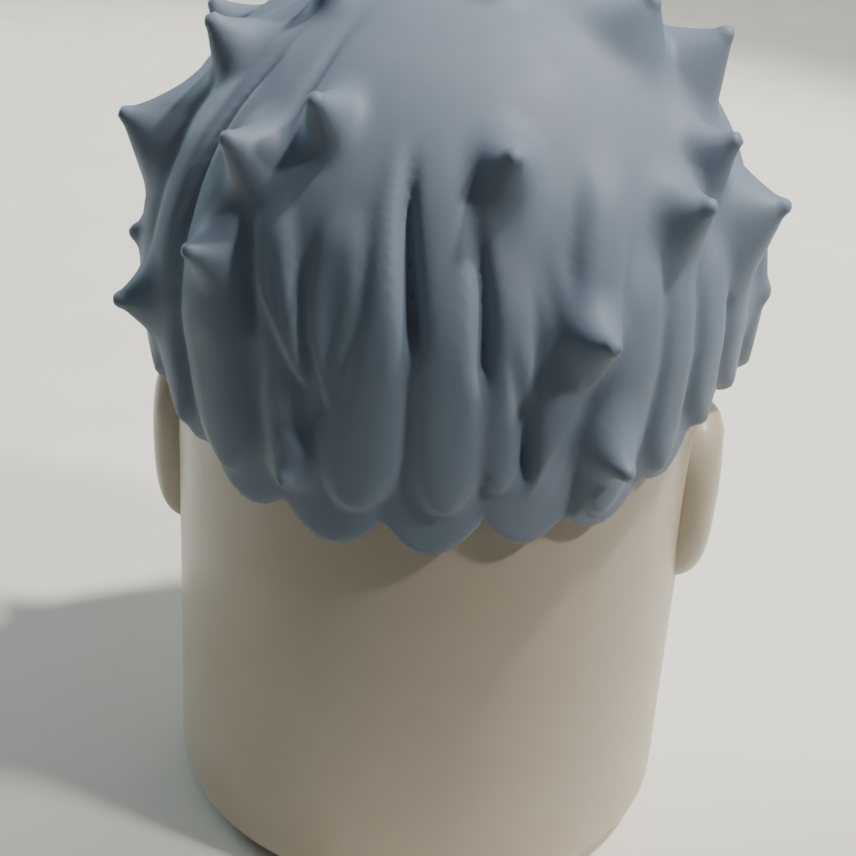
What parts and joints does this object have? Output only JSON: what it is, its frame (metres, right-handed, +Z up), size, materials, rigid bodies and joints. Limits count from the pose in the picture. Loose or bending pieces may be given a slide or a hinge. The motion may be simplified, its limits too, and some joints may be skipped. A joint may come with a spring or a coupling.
{
  "type": "display head with pull-off spiky hair cap",
  "caption": "Round-topped cylindrical mannequin head with low ears, wearing a moulded spiky hair cap that pulls off upwards.",
  "frame": {"origin": "centre of the underside of the foot pad, on the axis of the head cylinder", "axes": "+Z up along the head's axis, face towards -Y, back of the head towards +Y"},
  "size_m": [0.094, 0.0919, 0.1395],
  "materials": {
    "head": "cream moulded plastic, soft semi-gloss",
    "base": "cream moulded plastic, fine texture",
    "steel": "zinc-plated steel",
    "pad": "matte non-slip rubber",
    "liner": "satin moulded plastic",
    "band": "matte silicone",
    "hair": "soft blue-grey vinyl, satin matte"
  },
  "bodies": {
    "head": {"head_shell": "head", "base_plate": "base", "base_screws": "steel", "foot_pad": "pad", "ear_left": "head", "ear_right": "head", "ear_screws": "steel"},
    "cap": {"cap_liner": "liner", "grip_band": "band", "hair_back": "hair", "hair_front": "hair"}
  },
  "joints": [
    {"name": "cap_lift", "type": "slide", "parent": "head", "child": "cap", "axis": [0, 0, 1], "range_m": [0, 0.075]}
  ]
}
